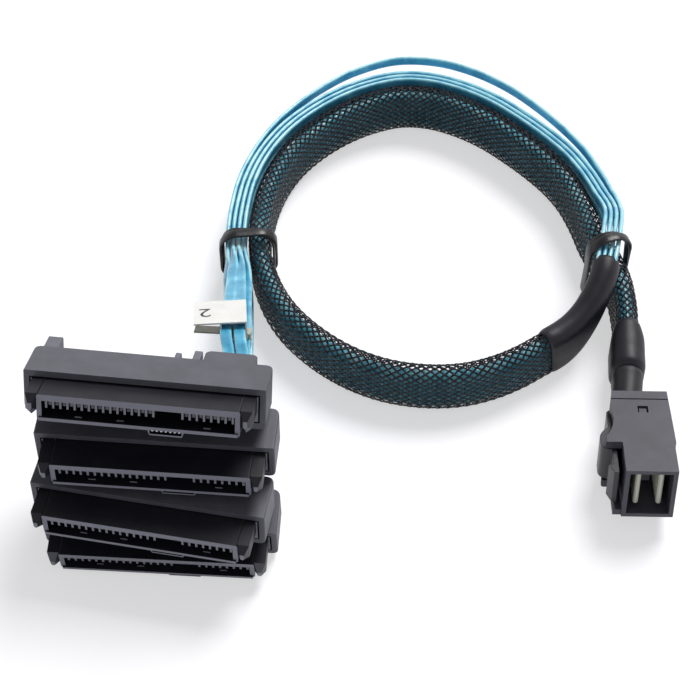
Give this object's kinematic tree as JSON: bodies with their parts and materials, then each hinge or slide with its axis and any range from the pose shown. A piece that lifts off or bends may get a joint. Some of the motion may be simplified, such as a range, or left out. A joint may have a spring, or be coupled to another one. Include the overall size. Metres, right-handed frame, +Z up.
{
  "type": "breakout cable",
  "caption": "Breakout cable: a small latched two-card plug, a braided sleeve bent in a loop, flat twin cables and a stack of wide drive connectors.",
  "frame": {"origin": "on the standing surface, under the middle of the box round the plug and the four drive connectors", "axes": "+Z up; the connectors' mouths point roughly towards -Y; the plug is on the +X side and the stack on the -X side"},
  "size_m": [0.1192, 0.1374, 0.0383],
  "materials": {
    "hood_plastic": "fine moulded grain, dark grey-black",
    "nose_plastic": "satin, black",
    "contact_metal": "dull plated metal",
    "blade_metal": "gold plated",
    "plug_plastic": "satin, dark grey-black",
    "card_board": "bare board edge, cream",
    "lever_plastic": "satin, dark grey-black",
    "twin_jacket": "smooth cyan jacket",
    "braid": "open black monofilament braid over cyan cables",
    "collar_rubber": "matt black",
    "heat_shrink": "shrunk tube, matt black",
    "tie_coated": "glossy black coated band",
    "label_paper": "white label film"
  },
  "bodies": {
    "cable": {"drive_1_hood": "hood_plastic", "drive_1_nose": "nose_plastic", "drive_1_contacts": "contact_metal", "drive_1_sill_contacts": "contact_metal", "drive_1_power_port": "hood_plastic", "drive_1_power_blades": "blade_metal", "drive_2_hood": "hood_plastic", "drive_2_nose": "nose_plastic", "drive_2_contacts": "contact_metal", "drive_2_sill_contacts": "contact_metal", "drive_2_power_port": "hood_plastic", "drive_2_power_blades": "blade_metal", "drive_3_hood": "hood_plastic", "drive_3_nose": "nose_plastic", "drive_3_contacts": "contact_metal", "drive_3_sill_contacts": "contact_metal", "drive_3_power_port": "hood_plastic", "drive_3_power_blades": "blade_metal", "drive_4_hood": "hood_plastic", "drive_4_nose": "nose_plastic", "drive_4_contacts": "contact_metal", "drive_4_sill_contacts": "contact_metal", "drive_4_power_port": "hood_plastic", "drive_4_power_blades": "blade_metal", "plug_housing": "plug_plastic", "plug_rear_cover": "plug_plastic", "paddle_card_1": "card_board", "paddle_card_2": "card_board", "card_spacer": "nose_plastic", "twin_cable_1a": "twin_jacket", "twin_cable_1b": "twin_jacket", "twin_cable_2a": "twin_jacket", "twin_cable_2b": "twin_jacket", "twin_cable_3a": "twin_jacket", "twin_cable_3b": "twin_jacket", "twin_cable_4a": "twin_jacket", "twin_cable_4b": "twin_jacket", "braided_sleeve": "braid", "plug_strain_collar": "collar_rubber", "plug_heat_shrink": "heat_shrink", "transition_heat_shrink": "heat_shrink", "tie_left": "tie_coated", "tie_right": "tie_coated", "label_1": "label_paper", "label_2": "label_paper", "label_3": "label_paper", "label_4": "label_paper"},
    "latch": {"latch_lever": "lever_plastic"}
  },
  "joints": [
    {"name": "latch_press", "type": "hinge", "parent": "cable", "child": "latch", "pos_m": [0.04861, 0.01504, 0.00653], "axis": [0.0039, 0.1839, 0.9829], "range_deg": [0, 2.2], "stiffness_Nm_per_rad": 0.5}
  ]
}
